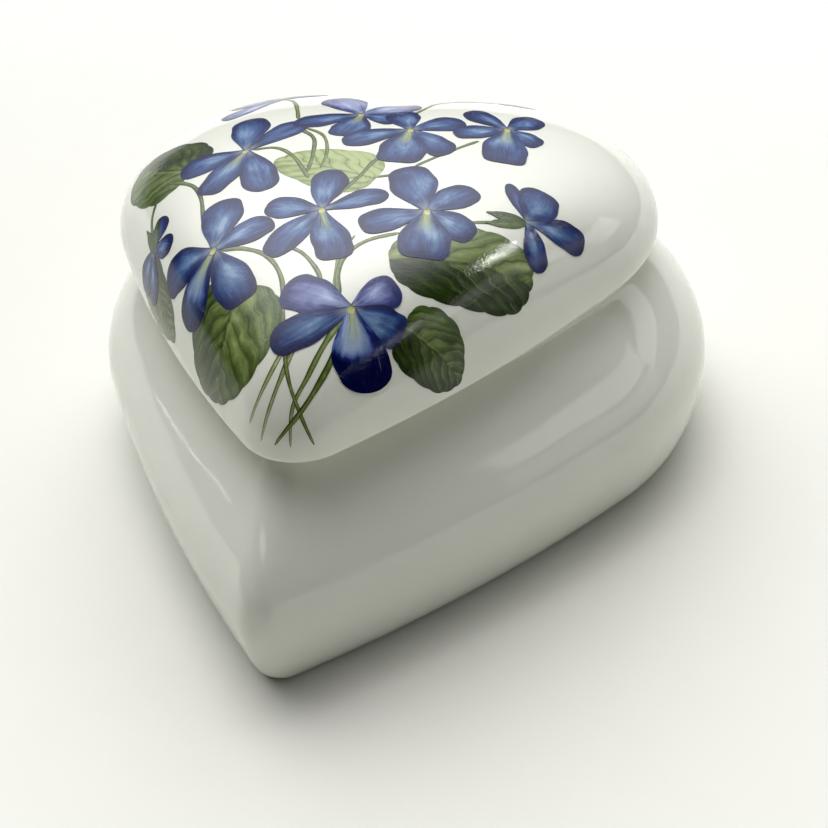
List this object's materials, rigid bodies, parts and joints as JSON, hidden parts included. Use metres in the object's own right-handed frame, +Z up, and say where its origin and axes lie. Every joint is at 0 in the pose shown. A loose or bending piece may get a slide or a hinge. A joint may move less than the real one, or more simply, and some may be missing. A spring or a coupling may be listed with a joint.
{
  "type": "heart-shaped trinket box",
  "caption": "Heart-shaped glazed porcelain trinket box with a bombe base and a loose domed lid that lifts straight off, printed with violets.",
  "frame": {"origin": "centre of the bounding box, on the surface the box stands on", "axes": "+Z up; -Y towards the heart's pointed end, +Y towards the notch; +X to the right when the point faces the viewer"},
  "size_m": [0.088, 0.0924, 0.0444],
  "materials": {
    "base_porcelain": "clear gloss glaze over white porcelain; unglazed foot ring",
    "lid_porcelain": "clear gloss glaze over white porcelain with a fired-on flower print"
  },
  "bodies": {
    "base": {"box_base": "base_porcelain"},
    "lid": {"lid": "lid_porcelain"}
  },
  "joints": [
    {"name": "lid_lift", "type": "slide", "parent": "base", "child": "lid", "axis": [0, 0, 1], "range_m": [0, 0.06]}
  ]
}
